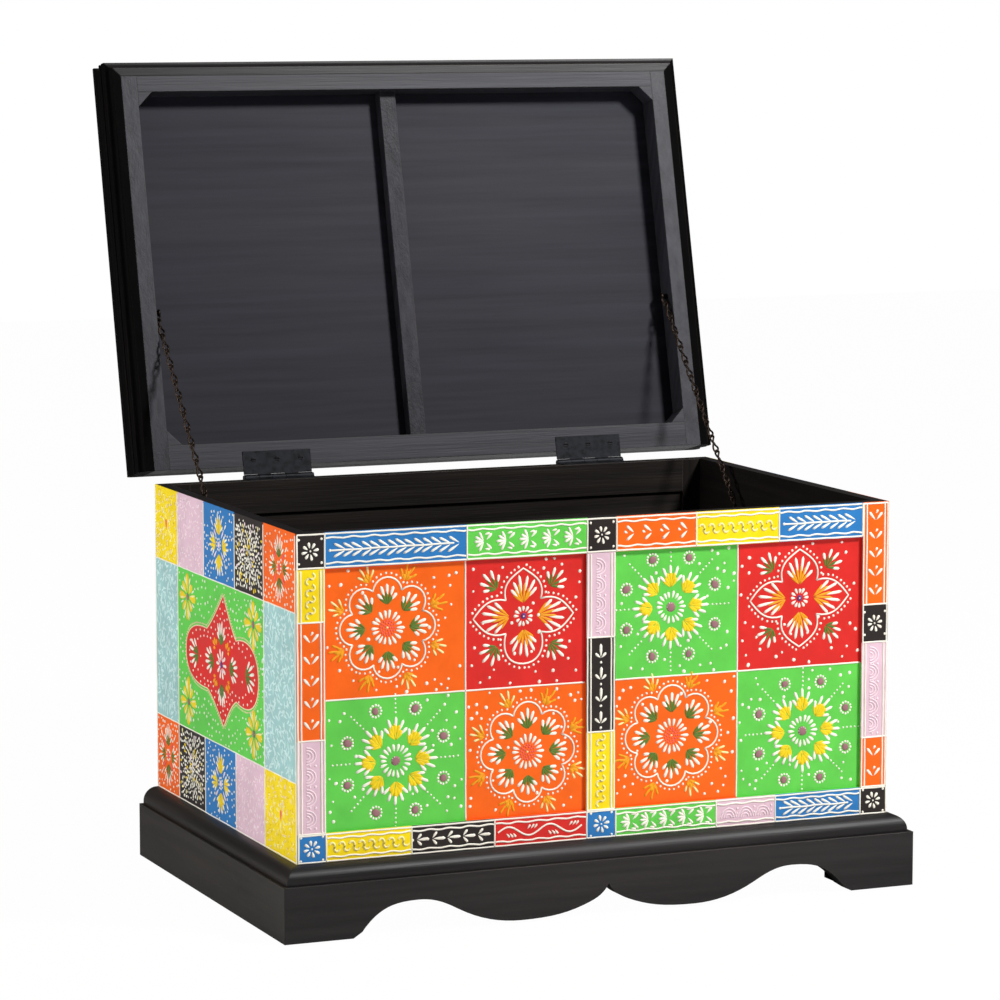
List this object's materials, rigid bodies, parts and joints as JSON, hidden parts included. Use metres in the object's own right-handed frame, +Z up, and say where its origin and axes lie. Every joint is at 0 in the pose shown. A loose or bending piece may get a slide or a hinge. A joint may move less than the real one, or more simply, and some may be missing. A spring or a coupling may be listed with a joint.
{
  "type": "storage chest",
  "caption": "Painted wooden storage chest on a scalloped plinth, with a deep hinged lid that two chains hold open",
  "frame": {"origin": "on the floor, under the middle of the chest with its lid open", "axes": "+X to the chest's right as seen from its front, +Y from the front to the hinged back, +Z up"},
  "size_m": [0.5992, 0.5312, 0.7296],
  "materials": {
    "lacquer": "satin brown-black lacquer over wood",
    "stained_wood": "matt grey-black stain with the grain showing",
    "paint_orange": "satin paint on wood",
    "paint_red": "satin paint on wood",
    "paint_green": "satin paint on wood",
    "paint_blue": "satin paint on wood",
    "paint_yellow": "satin paint on wood",
    "paint_pink": "satin paint on wood",
    "paint_black": "satin paint on wood",
    "paint_aqua": "satin paint on wood",
    "paint_white": "raised satin paint, piped in strokes and dots",
    "black_iron": "satin black",
    "bronze": "dark antique bronze"
  },
  "bodies": {
    "chest": {"front_top_rail": "paint_blue", "front_bottom_rail": "paint_yellow", "front_left_stile": "paint_orange", "front_right_stile": "paint_pink", "front_muntin": "paint_black", "front_left_panel": "paint_orange", "front_right_panel": "paint_green", "back_top_rail": "stained_wood", "back_bottom_rail": "stained_wood", "back_left_stile": "stained_wood", "back_right_stile": "stained_wood", "back_panel": "stained_wood", "left_side_board": "paint_green", "right_side_board": "paint_green", "bottom_board": "stained_wood", "end_cleats": "stained_wood", "side_cleats": "stained_wood", "front_skirt": "lacquer", "right_skirt": "lacquer", "left_skirt": "lacquer", "back_skirt": "stained_wood", "front_moulding": "lacquer", "right_moulding": "lacquer", "left_moulding": "lacquer", "corner_blocks": "stained_wood", "hinge_left_box_leaf": "black_iron", "hinge_left_pin": "black_iron", "hinge_right_box_leaf": "black_iron", "hinge_right_pin": "black_iron", "hinge_box_screws": "black_iron", "chain_box_screws": "bronze"},
    "lid": {"lid_front_moulding": "lacquer", "lid_right_moulding": "lacquer", "lid_left_moulding": "lacquer", "lid_top_board": "lacquer", "lid_left_stile": "stained_wood", "lid_right_stile": "stained_wood", "lid_front_rail": "stained_wood", "lid_back_rail": "stained_wood", "lid_centre_bar": "stained_wood", "lid_glue_blocks": "stained_wood", "hinge_left_lid_leaf": "black_iron", "hinge_right_lid_leaf": "black_iron", "hinge_lid_screws": "black_iron", "chain_lid_screws": "bronze"},
    "chain_left_lower": {"chain_left_lower": "bronze"},
    "chain_left_upper": {"chain_left_upper": "bronze"},
    "chain_right_lower": {"chain_right_lower": "bronze"},
    "chain_right_upper": {"chain_right_upper": "bronze"}
  },
  "joints": [
    {"name": "lid_hinge", "type": "hinge", "parent": "chest", "child": "lid", "pos_m": [0, 0.13064, 0.3466], "axis": [1, 0, 0], "range_deg": [0, 103.8]},
    {"name": "chain_left_lower_swing", "type": "hinge", "parent": "chest", "child": "chain_left_lower", "pos_m": [-0.26, -0.00946, 0.28], "axis": [1, 0, 0], "range_deg": [-90, 0]},
    {"name": "chain_right_lower_swing", "type": "hinge", "parent": "chest", "child": "chain_right_lower", "pos_m": [0.26, -0.00946, 0.28], "axis": [1, 0, 0], "range_deg": [-90, 0]},
    {"name": "chain_left_upper_swing", "type": "hinge", "parent": "lid", "child": "chain_left_upper", "pos_m": [-0.26, 0.18104, 0.49898], "axis": [1, 0, 0], "range_deg": [-18, 0]},
    {"name": "chain_right_upper_swing", "type": "hinge", "parent": "lid", "child": "chain_right_upper", "pos_m": [0.26, 0.18104, 0.49898], "axis": [1, 0, 0], "range_deg": [-18, 0]}
  ],
  "couplings": [
    {"joint": "chain_left_lower_swing", "follows": "lid_hinge", "ratio": -0.867},
    {"joint": "chain_right_lower_swing", "follows": "lid_hinge", "ratio": -0.867},
    {"joint": "chain_left_upper_swing", "follows": "lid_hinge", "ratio": -0.1733},
    {"joint": "chain_right_upper_swing", "follows": "lid_hinge", "ratio": -0.1733}
  ]
}
